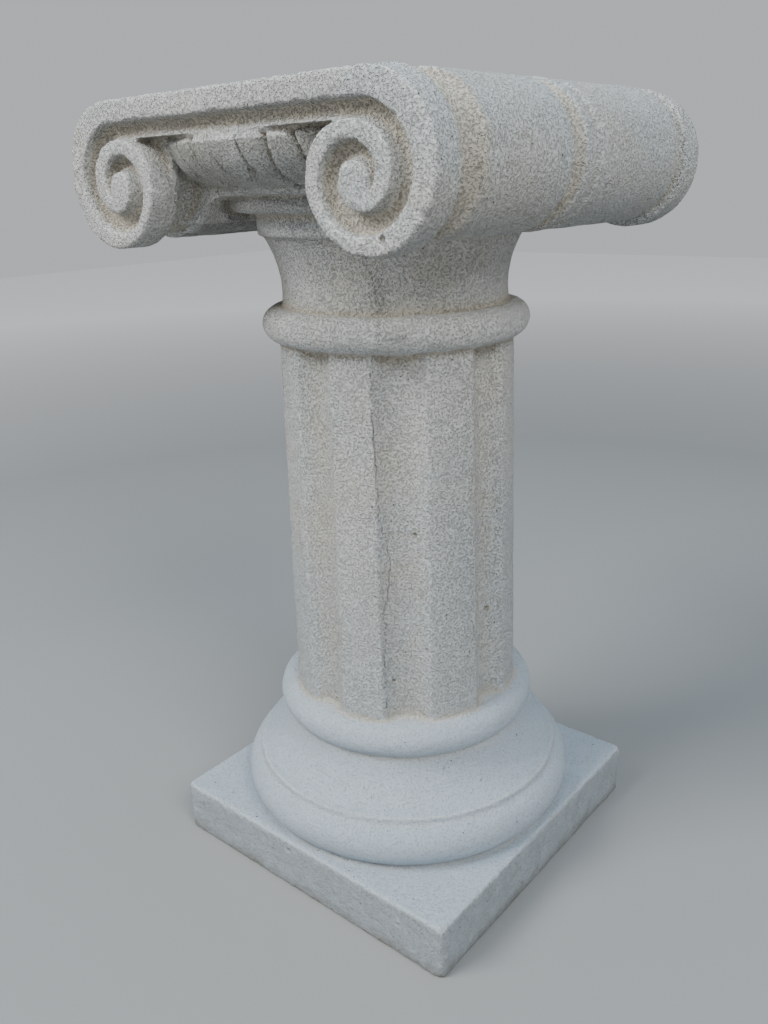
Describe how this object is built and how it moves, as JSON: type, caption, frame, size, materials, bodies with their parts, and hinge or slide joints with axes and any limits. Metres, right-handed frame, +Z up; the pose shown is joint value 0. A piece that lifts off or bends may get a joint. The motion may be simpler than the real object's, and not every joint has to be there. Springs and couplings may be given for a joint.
{
  "type": "ionic pedestal column",
  "caption": "Short fluted stone pedestal on a square plinth, with moulded base and an Ionic capital with scrolls, rolls and an egg moulding; flat top for a planter or bust.",
  "frame": {"origin": "middle of the plinth's underside, on the ground", "axes": "+Z up along the column; the two scroll faces look to -Y and +Y, and the capital's rolls run along Y"},
  "size_m": [0.4132, 0.4049, 0.7545],
  "materials": {
    "cast_stone": "matte pale cast stone with fine pinholes, a little rough on the shaft"
  },
  "bodies": {
    "root": {"ionic_pedestal": "cast_stone"}
  },
  "joints": []
}
